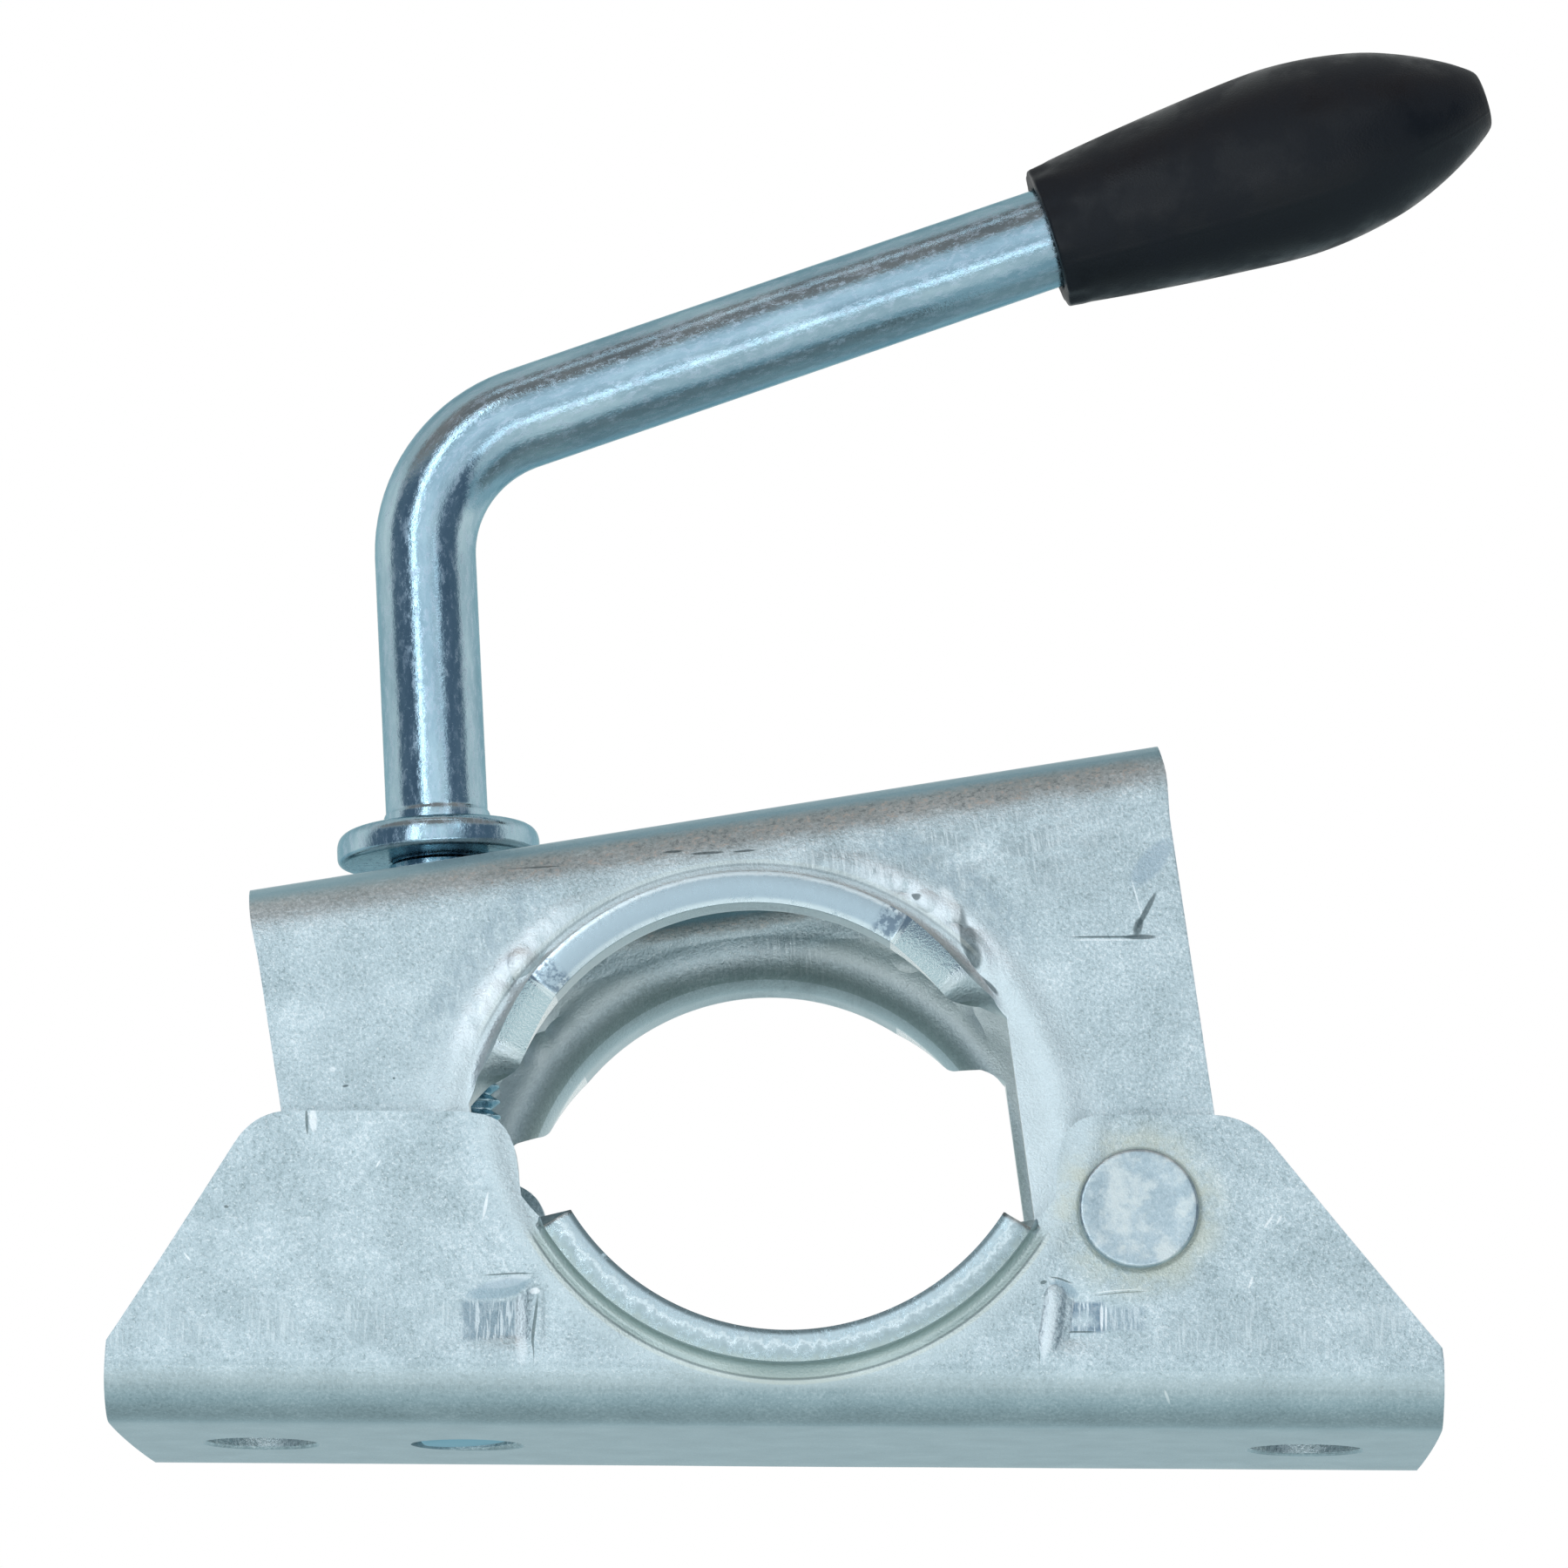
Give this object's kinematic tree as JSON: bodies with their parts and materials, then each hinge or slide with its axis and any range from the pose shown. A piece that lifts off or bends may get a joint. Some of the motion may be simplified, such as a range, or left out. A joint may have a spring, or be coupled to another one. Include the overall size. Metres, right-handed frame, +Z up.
{
  "type": "prop stand tube clamp",
  "caption": "Zinc plated clamp for a trailer prop stand tube: a channel base with a hinged jaw over it, closed by a threaded rod that is bent into a handle with a plastic grip.",
  "frame": {"origin": "middle of the two mounting holes, on the underside of the base's web", "axes": "+Z up from the mounting face, +X from the screw to the hinge rivet, Y along the tube"},
  "size_m": [0.1348, 0.0558, 0.1418],
  "materials": {
    "base_sheet": "zinc plated pressed sheet, matte and speckled",
    "jaw_sheet": "zinc plated pressed sheet, matte and speckled",
    "rivet_steel": "zinc plated, flat worn head",
    "bush_steel": "zinc plated, turned",
    "rod_steel": "zinc plated bright drawn rod",
    "washer_steel": "zinc plated, bright",
    "grip_plastic": "soft black plastic, fine grain"
  },
  "bodies": {
    "base": {"base_bracket": "base_sheet", "threaded_bush": "bush_steel", "hinge_rivet": "rivet_steel"},
    "jaw": {"clamp_jaw": "jaw_sheet"},
    "washer": {"thrust_washer": "washer_steel"},
    "handle": {"screw_rod": "rod_steel", "grip": "grip_plastic"}
  },
  "joints": [
    {"name": "screw_slide", "type": "slide", "parent": "base", "child": "washer", "axis": [-0.0628, 0, 0.998], "range_m": [0, 0.0113]},
    {"name": "handle_turn", "type": "hinge", "parent": "washer", "child": "handle", "pos_m": [-0.03488, 0, 0.06], "axis": [-0.0628, 0, 0.998], "range_deg": [0, 2700]},
    {"name": "jaw_hinge", "type": "hinge", "parent": "base", "child": "jaw", "pos_m": [0.0343, 0, 0.02015], "axis": [0, 1, 0], "range_deg": [0, 11.45]}
  ],
  "couplings": [
    {"joint": "screw_slide", "follows": "handle_turn", "m_per_rad": 0.00023873},
    {"joint": "jaw_hinge", "follows": "handle_turn", "ratio": 0.0042222}
  ]
}
